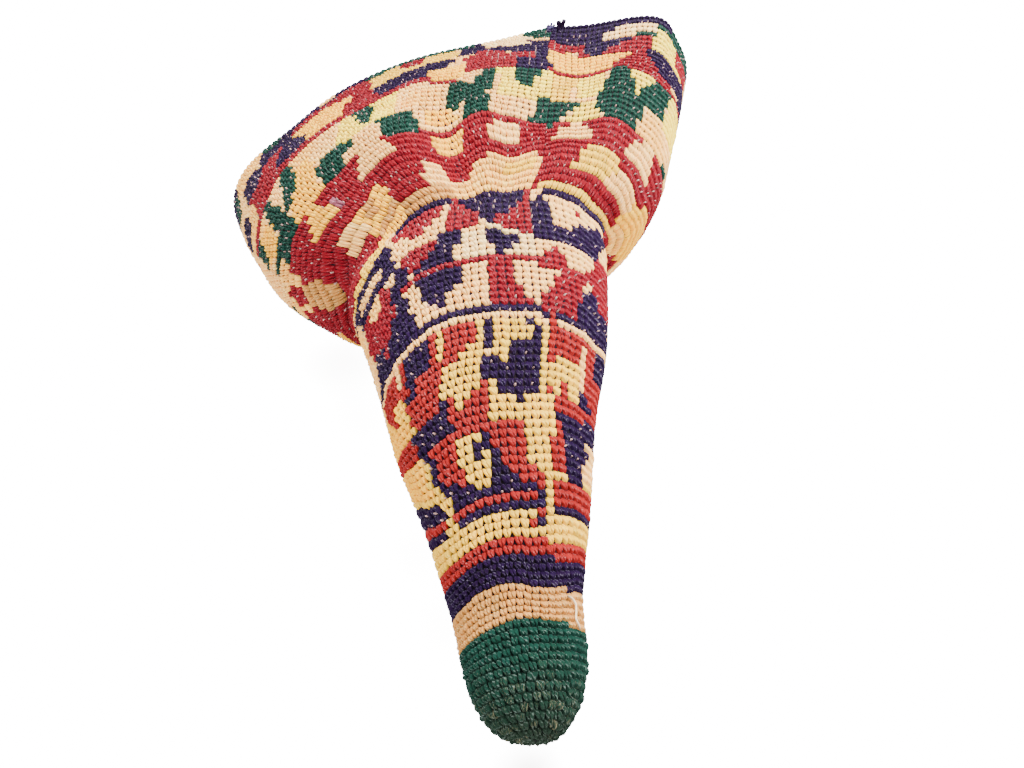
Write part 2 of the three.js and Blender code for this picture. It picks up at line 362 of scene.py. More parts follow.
# colour, then lines of row, left angle, right angle
TRUNK_PATCHES = [
    ("coral", (32, 62, -20), (35.2, 62, -20)),
    ("yellow", (30.4, 70, 62), (35.6, 70, 62)),
    ("coral", (29.2, 80, 74), (30.2, 80, 74)),
    ("navy", (28.6, 73, 67), (30.2, 73, 67)),
    ("coral", (30.2, 77, 70), (31.2, 76, 71)),
    ("navy", (31.2, 77, 70), (32.8, 74, 68)),
    ("coral", (32.8, 76, 68), (34.2, 74, 68)),
    ("yellow", (30.5, 142, 135), (35, 143, 134)),
    ("coral", (30.8, 134, 130), (31.8, 134, 130)),
    ("yellow", (35.3, 400, -400), (37, 400, -400)),
    ("navy", (34.8, 133, 110), (35.6, 135, 113), (36.6, 140, 122), (37.6, 146, 136), (38.4, 148, 137)),
    ("navy", (38.2, 142, 137), (41, 142, 137)),
    ("coral", (35, 124, 112), (36, 132, 117), (37.5, 137, 118), (41, 137, 119)),
    ("yellow", (34, 110, 104), (35.4, 118, 103), (37.5, 119, 102), (40.4, 117, 102)),
    ("navy", (35, 110, 107), (39.4, 107, 103.5)),
    ("navy", (35.3, 104, 86), (36.5, 103, 90), (37.5, 102, 94), (39, 102, 97), (41.6, 102, 97)),
    ("coral", (34.2, 86, 70), (35.4, 91, 71), (36.6, 94, 78), (38, 97, 79), (41.2, 97, 79)),
    ("yellow", (35.4, 71, 60), (36.4, 78, 60), (38, 79, 58), (44, 80, 57)),
    ("navy", (41, 146, 119), (43.5, 146, 119), (44.4, 144, 137)),
    ("navy", (43.5, 128, 119), (46, 126, 120)),
    ("coral", (40.4, 120, 96), (43.5, 120, 96), (45.5, 118, 116)),
    ("yellow", (42.4, 112, 109), (44.5, 116, 107)),
    ("coral", (43.5, 106, 95), (45.6, 100, 95)),
    ("coral", (44, 142, 122), (45.5, 146, 124), (48, 147, 123), (50.4, 147, 120)),
    ("yellow", (45, 122, 100), (47, 123, 100), (50.4, 122, 99.5), (51.2, 108, 99)),
    ("coral", (46, 125, 122), (54, 123, 118)),
    ("yellow", (50, 120, 117), (54.4, 118.5, 116)),
    ("coral", (49.4, 117, 109), (50.6, 117, 104), (51, 117, 100), (54.2, 117, 100)),
    ("navy", (48.4, 139, 135), (50, 140.5, 133), (50.4, 141, 124), (54.5, 141, 124)),
    ("navy", (48, 145.5, 142), (49.2, 145, 142)),
    ("coral", (50, 147, 141), (55, 147, 141)),
    ("yellow", (45.8, 97, 69), (55, 97, 69)),
    ("navy", (43.2, 81, 78), (44, 88, 71), (45.4, 92, 70), (46, 98, 69), (50, 99, 68.5)),
    ("navy", (50, 87, 68.5), (51, 84, 69), (51.4, 77, 69)),
    ("yellow", (48.1, 88, 86), (49, 91, 86.5), (50.1, 92, 86)),
    ("cream", (48.7, 96, 93.5), (49.6, 96, 93.5)),
    ("navy", (50, 98.5, 93), (54.4, 96.5, 93)),
    ("navy", (51, 73, 69), (54.2, 75, 71)),
    ("yellow", (40.8, 96, 57), (43.2, 96, 57)),
    ("yellow", (43, 68, 57), (51, 68, 60)),
    ("coral", (43, 64.5, 62), (50, 64.5, 61)),
    ("coral", (48.8, 56, 49), (49.8, 60, 46), (50.6, 64, 39.5), (54.4, 64.5, 39.5)),
    ("yellow", (45, 48, 37), (46, 61, 36.5), (50.4, 60, 36.5)),
    ("coral", (44.6, 56, 51), (46.8, 55, 50.5)),
    ("coral", (43.3, 57, 24), (44.4, 57, 18), (45.4, 52, 14)),
    ("cream", (45, 40, 35.5), (55, 40, 35.5)),
    ("coral", (46.8, 35.5, -20), (50.5, 35.5, -20), (54, 35.5, 28)),
    ("navy", (50.4, 28, -20), (55.4, 28, -20)),
    ("navy", (45.2, 38, 25), (46.9, 38, 27)),
    ("coral", (36, 62, 50), (38.6, 61, 51), (43, 57, 51)),
    ("navy", (35, 45, 35), (36.2, 51, 33), (43, 52, 31)),
    ("navy", (42, 57, 51), (43.3, 57, 51)),
    ("cream", (36, 32, -20), (41, 31, -20)),
    ("navy", (41, 31, -20), (43.6, 31, -20)),
    ("coral", (43.6, 24, -20), (46.8, 27, -20)),
    ("navy", (38.2, 33, 27), (40.4, 31, 23)),
    ("gold", (45, 190, 147), (51, 190, 147)),
    ("coral", (46.6, 160, 157), (49.4, 168, 161), (50, 172, 147), (54.6, 172, 147)),
    ("cream", (50.6, 150, 147), (54, 149, 145.5)),
    ("navy", (51.5, 190, 171), (54, 190, 171)),
    ("peach", (51, 190, 172), (55, 190, 172)),
    ("gold", (40.8, 190, 147), (45, 190, 147)),
    ("coral", (40.2, 176, 156), (41, 190, 148), (43.2, 190, 147), (44.2, 154, 147)),
    ("gold", (36, 190, 148), (37.6, 190, 148), (41, 190, 142)),
    ("navy", (33.8, 190, 148), (35.2, 190, 147)),
    ("cream", (54, 400, -400), (55, 400, -400)),
    ("coral", (54, 64, 58), (56, 64, 58)),
]
print("trunk patches", len(TRUNK_PATCHES))

# %% Patches of the neck
NECK_PATCHES = [
    ("navy", (55.5, 172, 150), (58, 168, 151), (60.8, 164, 154)),
    ("crimson", (57, 152, 149), (58.4, 151, 143), (60, 154, 139), (61, 168, 135), (64, 168, 138),
     (68, 166, 141)),
    ("navy", (55.5, 152, 130), (57.4, 149, 129), (58.6, 146, 129), (60, 141, 130), (62, 137, 130),
     (63, 136, 131)),
    ("peach", (64.8, 152, 144), (66.4, 156, 143), (68, 157, 141)),
    ("crimson", (64, 142, 138), (67, 141, 134)),
    ("navy", (56.8, 115.5, 112), (58.6, 115, 111.5)),
    ("navy", (58.4, 121, 115), (59.4, 122, 107), (60.6, 123, 103), (61.2, 123, 101.5),
     (62.8, 122, 101)),
    ("crimson", (56, 94, 68), (58.4, 93, 79), (60, 91.5, 80), (63.8, 90.5, 79)),
    ("cream", (56.5, 72, 70), (58, 72, 70)),
    ("crimson", (58, 79.5, 77), (58.8, 79, 77)),
    ("crimson", (56, 68, 48), (57.6, 68, 46), (58.6, 66, 44), (60, 63, 42), (62, 57, 41), (64, 55, 40)),
    ("navy", (55.4, 57, 5), (56.2, 49, 5), (58, 45, 5), (60.4, 42, 8), (62, 38, 28), (63.2, 34, 30)),
    ("crimson", (60.4, 28, -20), (62, 28, -20), (63.2, 40, -20), (64.4, 41, -20), (68.6, 28, -20)),
    ("crimson", (63, 141, 68), (64, 141, 68)),
    ("navy", (62.8, 140, 131), (63.8, 140, 129), (65.4, 138, 125), (67, 132.5, 127),
     (68.2, 130.5, 127)),
    ("navy", (63.6, 124, 103.5), (65.2, 122, 103), (66.2, 118, 102), (67, 112, 101),
     (68.4, 110, 100.5), (69.6, 108, 100)),
    ("crimson", (65.2, 124, 118), (66.4, 126, 114), (67.4, 127, 111), (68.6, 127, 110)),
    ("ivory", (64, 104, 87), (66, 101.5, 89), (69, 100, 68)),
    ("ivory", (64, 87, 67), (69.5, 89, 67)),
    ("navy", (64.4, 85, 83), (65.2, 87, 80), (66, 89, 74), (67.2, 90, 72.5), (68, 89, 78),
     (68.9, 89, 85)),
    ("crimson", (63.2, 67, 52), (64.6, 66, 54), (66, 63, 54.5), (67.2, 60, 56)),
    ("cream", (64.4, 52, 40), (66, 54, 35), (67.6, 56, 30), (68.6, 68, 28)),
    ("crimson", (70.8, 120, 114), (72, 123, 111), (73, 127, 109), (74.5, 130, 107)),
    ("crimson", (69.8, 103, 97), (71, 103.5, 88), (72, 103, 91), (74, 103.5, 95), (75, 103, 98),
     (77, 101, 100)),
    ("crimson", (68.4, 74, 69), (69.4, 80, 68), (70.6, 87, 68), (72, 83, 68), (73, 80, 68),
     (75.6, 71, 67)),
    ("navy", (70, 87.5, 86), (71, 89, 84), (72, 91, 81), (73, 93, 77), (74.2, 95, 74),
     (75, 99, 70), (76, 99, 70)),
    ("navy", (74.5, 131, 102), (76, 131, 103)),
    ("navy", (68.4, 68, 28), (69.6, 68, 26), (71, 68, 56), (73, 67.5, 57), (75.4, 66, 61),
     (76.4, 65, 58)),
    ("navy", (69, 53, 27), (70.4, 49, 24), (71.4, 46, 21), (72.4, 40, 16), (73.6, 34, 8),
     (74.6, 26, 5)),
    ("crimson", (74.4, 42.5, 40), (75.4, 42, 40)),
    ("navy", (75.7, 62, -20), (76.7, 62, -20)),
    ("yellow", (76.7, 66, 5), (77.7, 66, 5)),
    ("crimson", (75, 5, -20), (77.2, 5, -20)),
    ("navy", (67.9, 168, 131), (69.7, 166, 130)),
    ("navy", (69.7, 175, 161), (72, 175, 164)),
    ("navy", (69.2, 139, 130.5), (72.6, 138, 130)),
    ("navy", (71.9, 190, 131), (73.8, 190, 131), (74.6, 146, 134), (75, 141, 133)),
    ("peach", (64, 190, 170), (72, 190, 170)),
    ("yellow", (73.8, 170, 148), (75.4, 170, 134), (76.4, 152, 134), (77.4, 145, 134)),
    ("crimson", (75.4, 190, 170), (75.5, 190, 158), (76.4, 190, 152), (77.4, 190, 145),
     (78, 190, 139), (80.4, 190, 139)),
]
print("neck patches", len(NECK_PATCHES))

# %% Patches of the head part, below its middle line
LOWER_HEAD_PATCHES = [
    ("tan", (76, 138, 100), (79, 138, 99)),
    ("gold", (76, 137, 120), (78.4, 139, 122)),
    ("peach", (76.4, 100, 68), (78, 101, 68), (79.4, 93, 68), (81, 88.5, 69)),
    ("gold", (79, 139, 121), (82.6, 142, 117)),
    ("tan", (80, 134, 126), (82, 132, 124)),
    ("cream", (80.2, 160, 138), (81.2, 156, 139), (82.4, 146, 140)),
    ("crimson", (78.3, 121.5, 107), (80, 120, 105), (81.2, 119, 103.5), (82.8, 117, 100.5)),
    ("cream", (77.6, 108, 98), (79, 106.5, 98.5), (80.4, 105, 99), (82, 103, 99.4), (83.2, 101, 99.5)),
    ("peach", (80, 87, 70), (81, 87, 70), (82.3, 86, 70)),
    ("yellow", (79.4, 82, 70), (81.4, 80, 70)),
    ("crimson", (82.4, 400, 68), (83.5, 400, 68)),
    ("gold", (83.5, 156, 131), (85, 154, 137), (86, 150, 137.5), (87.2, 147, 139), (88, 147, 139)),
    ("crimson", (84.4, 134, 123), (85.4, 137.5, 122), (86.6, 138.5, 120.5), (88, 140, 119)),
    ("lilac", (84.4, 136, 134), (85.5, 136, 134)),
    ("cream", (83.5, 123, 108.5), (85, 122, 108), (86.4, 120, 109), (88, 117, 112)),
    ("cream", (83.5, 131, 122), (84.4, 131, 122)),
    ("gold", (84.3, 99, 93), (85, 101, 92), (86.4, 99, 91.5), (87.2, 96, 93)),
    ("cream", (83.5, 80, 68), (84.2, 86, 76), (86, 85.5, 75.5), (87.4, 82.5, 77.5)),
    ("crimson", (84.4, 76, 69), (88, 77.5, 68)),
    ("crimson", (77.7, 69, 52), (84.8, 69, 51)),
    ("yellow", (79.6, 57, 30), (80.8, 56, 30), (82, 54, 30), (84, 51.5, 30)),
    ("peach", (77.2, 4, -20), (79.6, 4, -20)),
    ("cream", (79.6, 36, 8), (84, 34, 10)),
    ("gold", (79.4, 9, -20), (84, 10, -20)),
    ("crimson", (83.2, 30, 13), (84, 50, -20), (85.4, 50, -20)),
    ("cream", (85, 67, 51), (86.2, 64.5, 51), (87.2, 65, 53), (88.6, 61, 54)),
    ("cream", (85.2, 33.5, 11), (87, 34, 14), (88.4, 29, 19)),
    ("crimson", (88.4, 56, 27), (89, 56, 29)),
    ("crimson", (86, 10, -20), (87.4, 13, -20), (89, 19, -20)),
    ("crimson", (88, 68, 60), (89.2, 66, 61)),
    ("crimson", (88, 55, 33), (89.3, 54, 34)),
    ("crimson", (88, 190, 172), (88.6, 190, 172)),
    ("tan", (82.2, 190, 184), (83.4, 190, 178), (84.6, 190, 180), (86.2, 190, 184)),
    ("peach", (86.2, 184, 178), (87.6, 184, 176)),
    ("peach", (88.2, 190, 171), (89.8, 182, 170)),
]
print("lower head patches", len(LOWER_HEAD_PATCHES))

# %% Patches of the head part, up to the rim
UPPER_HEAD_PATCHES = [
    ("green", (87.8, 172, 149.5), (89.4, 168, 149.5), (89.8, 179, 150), (91, 178, 150)),
    ("green", (90.6, 159, 145), (91.6, 158.5, 148), (92.4, 158.5, 149.5), (95, 158, 150.5),
     (99.6, 156.5, 153.5)),
    ("green", (91.2, 150, 140), (92, 147.5, 139.5), (95, 146, 139), (97, 144.5, 138.5),
     (99.6, 142, 139.5)),
    ("gold", (91, 166, 160), (92, 174, 158.5), (96, 170, 158.5), (97.6, 166, 159)),
    ("green", (93, 178, 173), (95, 177, 168.5), (98, 175, 168.5)),
    ("peach", (96, 167, 158), (99.6, 170, 157)),
    ("gold", (88, 149.5, 133.5), (90, 150, 133), (91.2, 145, 132), (93, 139, 131), (96, 138.5, 133)),
    ("peach", (96, 138.5, 130), (99.6, 139, 130)),
    ("cream", (92, 130, 124), (96, 128, 122)),
    ("lemon", (92, 124, 111), (96, 121, 110), (99.6, 120, 110)),
    ("green", (87.8, 133.5, 123), (89.4, 132.5, 122.5), (90, 132, 117.5), (91.4, 131.5, 117),
     (92.4, 130, 121), (92.9, 126, 124)),
    ("green", (92.4, 112.3, 111.5), (94, 113.5, 111), (96, 115, 110.5), (99.7, 116, 110.5)),
    ("green", (87.4, 108, 101), (89, 109, 101), (91.8, 110, 102)),
    ("gold", (89, 100.5, 92), (92, 99, 94)),
    ("lemon", (92, 111, 105), (99.5, 110, 104)),
    ("peach", (93, 104, 95), (97, 102, 95)),
    ("green", (91, 93.6, 91), (93, 94, 90), (97, 93.5, 90), (98.2, 92.6, 90.4)),
    ("green", (88, 91.5, 84.3), (91, 90.4, 84.6), (92.4, 89.5, 86.4), (94, 89.5, 84),
     (96.4, 88.6, 83.5), (100.6, 86, 83)),
    ("lemon", (92.4, 83.5, 68), (99.5, 83, 68)),
    ("green", (94.6, 77, 75.5), (96, 78.6, 74), (97.4, 79, 73.4), (99.6, 79.6, 71.5)),
    ("green", (87.9, 73.5, 67), (89.2, 72.6, 65.5), (90.2, 72, 62), (91.4, 71.5, 59.5),
     (92.8, 71, 56.5)),
    ("lemon", (88.6, 63, 50), (91, 60, 51), (92.6, 58, 52)),
    ("yellow", (93, 68, 62), (99.6, 68, 60)),
    ("lemon", (94, 61, 51.5), (99.6, 60, 51)),
    ("green", (89, 49, 34.5), (90, 51, 34), (92, 53, 34), (94, 52.5, 34), (95.4, 52, 34),
     (97, 51, 41), (100.8, 50.5, 46)),
    ("green", (93.5, 36, 21.5), (95, 38, 20), (96.4, 37, 19), (98, 34, 18), (100.3, 31, 17)),
    ("lemon", (95, 39, 38), (96.2, 40.5, 37.4), (97.4, 41.5, 35), (98.4, 43, 32), (100.4, 46, 29)),
    ("peach", (88.8, 34, 8), (91, 33, 12), (93.5, 30, 20)),
    ("lemon", (93, 20, -20), (100, 17, -20)),
    ("green", (88.8, 10, -2), (90.4, 10, 2)),
    ("crimson", (97.6, 95.5, 91.5), (98.6, 97, 91), (99.4, 100, 96)),
    ("crimson", (99.2, 158, 97), (100.9, 158, 97)),
    ("crimson", (98.4, 178, 158), (99.8, 178, 157)),
    ("crimson", (100.6, 158, 142.5), (102, 161, 142.5), (103.4, 162, 142.5), (105, 155, 141.5),
     (107, 149.5, 140.5), (109.6, 145, 139.5)),
    ("navy", (100.6, 144, 131), (103, 142.5, 131), (105, 141.5, 132.5), (107, 141.2, 134),
     (110, 141.2, 135.5), (114, 141.2, 136)),
    ("gold", (100.9, 130.6, 119.3), (103, 131, 118), (105, 133, 116), (107, 134.5, 115),
     (109, 136, 120.5), (112, 136.5, 128)),
    ("crimson", (100.6, 119.3, 108), (103, 118, 109), (105, 116, 110), (107.4, 115, 110),
     (109, 121, 110), (111, 126, 110.5), (114, 119, 111)),
    ("crimson", (109.8, 136, 130), (110.8, 136, 124), (112.6, 136, 126), (114.6, 135, 130)),
    ("navy", (111.6, 124.5, 121), (112.8, 127, 118), (114.6, 130, 111)),
    ("navy", (100.8, 107.5, 96.5), (102.4, 108.5, 97), (104, 109.5, 94), (106.4, 109.5, 91.5),
     (107.6, 104, 91.5), (109.4, 97.5, 94)),
    ("gold", (98.8, 96, 90), (101, 96.6, 89.6), (103.4, 97.5, 89.6), (104.4, 93, 90)),
    ("yellow", (106.4, 110, 106), (108, 110, 101), (109.4, 110, 90.5), (114, 110, 91)),
    ("crimson", (109.6, 101, 98), (111.6, 103, 97.5), (113.4, 102, 98)),
    ("green", (112.4, 111, 107), (113.4, 111, 103), (113.6, 104, 92), (115, 104, 92)),
    ("crimson", (99.9, 89.6, 79), (103, 89.6, 79.6), (106, 90, 81), (108, 88.6, 83), (110.2, 87.5, 86)),
    ("navy", (109, 90.5, 88), (111, 90.5, 85), (112.4, 90.5, 85.5), (115, 91, 87)),
    ("navy", (103.4, 76, 70), (105, 79, 70), (106.4, 81, 70), (108, 84, 70), (110, 86, 70),
     (111, 85, 80)),
    ("ivory", (108.6, 79, 76), (110, 82, 75.6), (111.6, 84, 75), (114, 87, 78)),
    ("green", (111, 73, 69.6), (112.6, 76, 69.6), (115, 81, 69.6)),
    ("crimson", (100, 80, 50), (101, 80, 50)),
    ("crimson", (103.2, 80.5, 74), (105.4, 80.5, 75)),
    ("navy", (100.4, 79, 71), (102, 79, 67), (103.2, 77, 65)),
    ("gold", (101, 67, 48.5), (103.2, 70, 48), (104.2, 71, 46), (106, 69, 43), (107, 67, 60),
     (108, 64.5, 61.5)),
    ("crimson", (105.6, 70.6, 68), (107, 70.3, 66.5), (108, 70, 62), (110.2, 68.6, 57)),
    ("crimson", (105.9, 58, 42), (107, 60, 40), (108.6, 61, 40), (109.8, 50, 40)),
    ("crimson", (100.6, 50, 12), (102, 49.5, 24), (103, 49, 32), (104.2, 47, 35), (106, 43.5, 39)),
    ("navy", (105.8, 55.8, 53.6), (107, 57.4, 52.6), (108.2, 58.6, 50.5), (109.4, 59, 47),
     (110.4, 60, 44)),
    ("navy", (110, 70, 52), (112, 69.6, 52), (115, 69.6, 38)),
    ("green", (109.8, 46, 38.6), (111.2, 46, 38.6)),
    ("ivory", (110.4, 54.5, 50), (111.3, 54, 40), (112.6, 52, 38), (114, 48.5, 40)),
    ("navy", (101.8, 31, 8), (103, 34, 8), (104.2, 37, 8), (105.4, 40, 8), (106.8, 41, 8)),
    ("lemon", (106.8, 40, 5), (109, 39.5, 5), (111.6, 38, 18)),
    ("crimson", (108, 20, 5), (112, 24, 5)),
    ("green", (111.5, 38.4, 5), (115, 39, 5)),
    ("navy", (103.6, 161.5, 157), (105, 162.5, 150), (107, 162, 149.8), (109, 160.6, 151),
     (110.3, 158, 154)),
    ("navy", (107.4, 150, 147), (109, 150, 141), (111, 149.6, 140.4), (114, 147.5, 140.4)),
    ("peach", (109.6, 166, 150), (112, 166, 149), (115, 166, 147)),
    ("peach", (99.6, 182, 160), (103.4, 182, 161)),
    ("navy", (101.6, 182, 168), (104.6, 182, 168)),
    ("navy", (108.5, 190, 172), (111, 190, 167), (115, 190, 163)),
    ("green", (106.5, 176, 169), (111.5, 175, 166), (113, 172, 168)),
    ("navy", (101, 10, -20), (108, 10, -20)),
    ("navy", (112, 5, -20), (115, 5, -20)),
    ("peach", (112.6, 163, 148), (115, 163, 148)),
    ("green", (112.1, 147, 142), (115, 149, 137)),
    ("navy", (113, 137, 111), (115, 137, 111)),
    ("cream", (113, 124, 119), (113.9, 124, 119)),
    ("green", (113, 111, 88), (115, 111, 88)),
    ("navy", (113, 71, 30), (115, 71, 30)),
]
PATCHES = TRUNK_PATCHES + NECK_PATCHES + LOWER_HEAD_PATCHES + UPPER_HEAD_PATCHES
print("head patches", len(UPPER_HEAD_PATCHES))

# %% Read the chart
SEEN_RIGHT, SEEN_LEFT = -10, 190


def chart_angle(angle):
    """The far side, which lies on the table, repeats the near side's patches the other way round."""
    wrapped = (angle - SEEN_RIGHT) % 360 + SEEN_RIGHT
    hidden_share = (wrapped - SEEN_LEFT) / (360 + SEEN_RIGHT - SEEN_LEFT)
    return np.where(wrapped > SEEN_LEFT, between(SEEN_LEFT, SEEN_RIGHT, hidden_share), wrapped)


def yarn_at(row, angle):
    """Index of the yarn of a stitch whose middle is at a row and an angle."""
    angle = chart_angle(angle)
    yarn = np.zeros(row.shape, int)
    for name, first, last in BANDS:
        yarn[(row >= first) & (row < last)] = YARN_NAMES.index(name)
    for name, *lines in PATCHES:
        rows, left, right = np.array(lines, float).T
        inside = (row >= rows[0]) & (row < rows[-1])
        inside &= (angle <= np.interp(row, rows, left)) & (angle >= np.interp(row, rows, right))
        yarn[inside] = YARN_NAMES.index(name)
    return yarn


# %% [markdown]
# Counting stitches
#
# A spiral starts with six stitches, and each round adds some until the work is as wide as it has
# to be. The gauge, the width of one stitch, changes a little between the zones, because looser
# and tighter hands show in such work. Each round is divided evenly along its own length.

# %% Stitches of every round
SEED = 11
FIRST_STITCHES = 6
# rounds are taller at the tip, closer in the navy band, and one row apart from then on
ROUND_EDGES = np.concatenate([
    np.linspace(0, 17.4, 16),
    np.linspace(17.4, 22.4, 6)[1:],
    np.linspace(22.4, 25.95, 5)[1:],
    np.arange(26.95, RIM_ROW, 1),
])
ROUND_SAMPLES = 241
GAUGE_ROWS = [0, 16, 18, 24, 28, 36, 52, 58, 77, 80, 114]
GAUGE_MM = [3.1, 3.1, 2.7, 2.7, 3.2, 3.1, 3.1, 3.4, 3.4, 3.2, 3.2]
JITTER = 0.08
random = np.random.default_rng(SEED)


def round_length(row):
    """Angles round the hat from the seam, and the length walked at each of them."""
    angles = seam_at(row) - np.linspace(0, 360, ROUND_SAMPLES)
    points = on_fabric(row, angles, 0.0)
    steps = np.linalg.norm(np.diff(points, axis=0), axis=1)
    return np.concatenate([[0], np.cumsum(steps)]), angles


def all_stitches():
    """Middle row, height in rows, middle angle and width in degrees of every stitch."""
    rows, heights, starts, ends = [], [], [], []
    count = 0
    for number, (low, high) in enumerate(zip(ROUND_EDGES[:-1], ROUND_EDGES[1:])):
        row = (low + high) / 2
        lengths, angles = round_length(row)
        wanted = round(lengths[-1] / (np.interp(row, GAUGE_ROWS, GAUGE_MM) * MM))
        count = max(count, min(wanted, FIRST_STITCHES * (number + 1)))
        edges = np.arange(count + 1) + np.r_[0, random.normal(0, JITTER, count - 1), 0]
        places = np.interp(edges / count * lengths[-1], lengths, angles)
        rows.append(np.full(count, row))
        heights.append(np.full(count, high - low))
        starts.append(places[:-1])
        ends.append(places[1:])
    row, height, start, end = [np.concatenate(values) for values in (rows, heights, starts, ends)]
    return row, height, (start + end) / 2, start - end


stitch_row, stitch_height, stitch_angle, stitch_width = all_stitches()
stitch_yarn = yarn_at(stitch_row, stitch_angle)
last_round = np.flatnonzero(stitch_row > stitch_row.max() - 0.1)
print("stitches", len(stitch_row), "in the last round", len(last_round))

# %% Each stitch's own shade
LINEAR_YARNS = np.array(list(YARNS.values()))
SHADE_SPREAD = 0.07
DARKEST = 0.0015
WORN_GREEN = np.array([0.011, 0.019, 0.010])
WORN_START, WORN_REACH = 1.2, 12
FADED_REACH, MOST_FADED = 13, 0.8


def dyed(yarn):
    """Colours of stitches, each a little lighter or darker than its yarn."""
    shade = random.normal(1, SHADE_SPREAD, len(yarn))
    warmth = random.normal(0, SHADE_SPREAD / 3, len(yarn))
    colour = LINEAR_YARNS[yarn] * shade[:, None]
    colour = colour * (1 + warmth[:, None] * np.array([1, 0, -1]))
    return np.clip(colour, DARKEST, 1)


stitch_dye = dyed(stitch_yarn)
rubbing = random.beta(0.5, 0.8, len(stitch_row))
stitch_wear = np.clip(WORN_START - stitch_row / WORN_REACH, 0, 1) * rubbing
fading = np.clip(1 - stitch_row / FADED_REACH, 0, MOST_FADED)
stitch_dye = between(stitch_dye, WORN_GREEN, fading[:, None])
stitch_dye = np.concatenate([stitch_dye, 1 - stitch_wear[:, None]], 1)
for name in YARN_NAMES:
    print(name, int((stitch_yarn == YARN_NAMES.index(name)).sum()))

# %% [markdown]
# From numbers to meshes
#
# Thousands of little yarn loops would be slow as separate objects or as modifiers. One helper
# writes whole zones of them as one mesh: points, four-sided faces, a colour for each point, and
# two UV maps. The first map gives every loop its own place on a sheet, for baking. The second
# runs across and along each yarn, and the material uses it to twist the plies.

# %% A helper for meshes made of many equal sheets
ATLAS_MARGIN = 0.06
hat_material = bpy.data.materials.new("cotton_yarn")


def grid_faces(across, along):
    """Faces of a sheet of across by along points."""
    index = np.arange(across * along).reshape(along, across)
    corners = [index[:-1, :-1], index[:-1, 1:], index[1:, 1:], index[1:, :-1]]
    return np.stack(corners, -1).reshape(-1, 4)


def sheets_mesh(name, points, dye_and_shade, turned=False):
    """One object from points shaped (sheets, along, across, 3), with a dye for each sheet.

    The dye's fourth value is 1 for fresh yarn, 0 for worn yarn and 2 for the dark core, whose colour is
    carried yarn with painted shade."""
    sheets, along, across, _ = points.shape
    faces = grid_faces(across, along)
    if turned:
        faces = faces[:, ::-1]
    all_faces = (faces[None] + (np.arange(sheets) * along * across)[:, None, None]).reshape(-1, 4)
    mesh = bpy.data.meshes.new(name)
    mesh.from_pydata(points.reshape(-1, 3).tolist(), [], all_faces.tolist())
    columns = math.ceil(math.sqrt(sheets))
    lines = math.ceil(sheets / columns)
    u, v = np.meshgrid(np.linspace(0, 1, across), np.linspace(0, 1, along))
    ply = np.stack([u, v], -1).reshape(-1, 2)
    cell = np.stack([np.arange(sheets) % columns, np.arange(sheets) // columns], -1)
    inset = ATLAS_MARGIN + (1 - 2 * ATLAS_MARGIN) * ply
    atlas = (cell[:, None] + inset) / np.array([columns, lines])
    corner = all_faces.reshape(-1)
    for layer, values in (("OFBake", atlas.reshape(-1, 2)), ("Ply", np.tile(ply, (sheets, 1)))):
        mesh.uv_layers.new(name=layer).data.foreach_set("uv", values[corner].astype(np.float32).ravel())
    colour = np.ones((sheets, along * across, 4), np.float32)
    colour[..., : dye_and_shade.shape[-1]] = dye_and_shade[:, None]
    mesh.color_attributes.new("dye_and_shade", "FLOAT_COLOR", "POINT").data.foreach_set("color", colour.ravel())
    return finished(name, mesh)


def finished(name, mesh):
    """A mesh as a smooth, placed and declared piece of the hat."""
    mesh.polygons.foreach_set("use_smooth", np.ones(len(mesh.polygons), bool))
    mesh.materials.append(hat_material)
    mesh.update()
    piece = bpy.data.objects.new(name, mesh)
    bpy.context.scene.collection.objects.link(piece)
    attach(piece, "root")
    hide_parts("crocheted_hat")
    triangles = sum(len(face.vertices) - 2 for face in mesh.polygons)
    print(name, "triangles", triangles)
    return piece


# %% [markdown]
# One stitch
#
# Seen from outside, a single crochet is a small V: two legs of yarn that come out of the row
# below at one point, spread, and sink under the next row's points. Between the points stay small
# dark gaps. Tubes swept along curves would need many faces. Half tubes are enough, since a leg's
# back is never seen: five points across and five along, raised in the middle, sunk at the edges.

# %% The two legs of a stitch
# place along the stitch in rows, then the outer edge of a leg and its height, as shares
LEG_ALONG = np.array([-0.60, -0.36, -0.02, 0.32, 0.56])
TOOTH_ALONG = np.array([-0.80, -0.48, -0.06, 0.28, 0.50])
OPEN_OUTER = np.array([0.06, 0.26, 0.46, 0.51, 0.44])
OPEN_HEIGHT = np.array([0.26, 0.92, 1.0, 0.86, 0.02])
RIDGE_OUTER = np.array([0.40, 0.48, 0.505, 0.515, 0.50])
RIDGE_HEIGHT = np.array([0.12, 0.78, 1.0, 0.78, 0.12])
GROOVE_LEAN = 0.20
# place across a leg and height there, from its inner edge to its outer edge
LEG_ACROSS = np.array([-1, -0.62, 0, 0.66, 1])
LEG_DOME = np.array([0.52, 0.88, 1.0, 0.70, 0.0])
RIDGE_ROWS = [0, 21, 24, 74, 78, 87, 91, 114]
RIDGE_SHARE = [0.6, 0.6, 0.2, 0.0, 0.9, 0.8, 0.1, 0.0]
STITCH_SINK = 1.15 * MM
STITCH_RISE = 1.5 * MM
TIP_SINK = 0.5 * MM
LEAN, LEAN_SPREAD = 0.08, 0.06
SIZE_SPREAD = 0.09
LIFT, LIFT_SPREAD = 0.03, 0.03
GROOVE_SPREAD = 0.03
LEG_OVERLAP = 0.01


def tip_sink(row):
    """The tip is worked tighter, so its stitches stand a little lower."""
    return TIP_SINK * np.interp(row, [14, 20], [1, 0])


def loose_tip(row):
    """The tip is worn, so its stitches differ more from each other."""
    return np.interp(row, [10, 20], [2.0, 1.0])


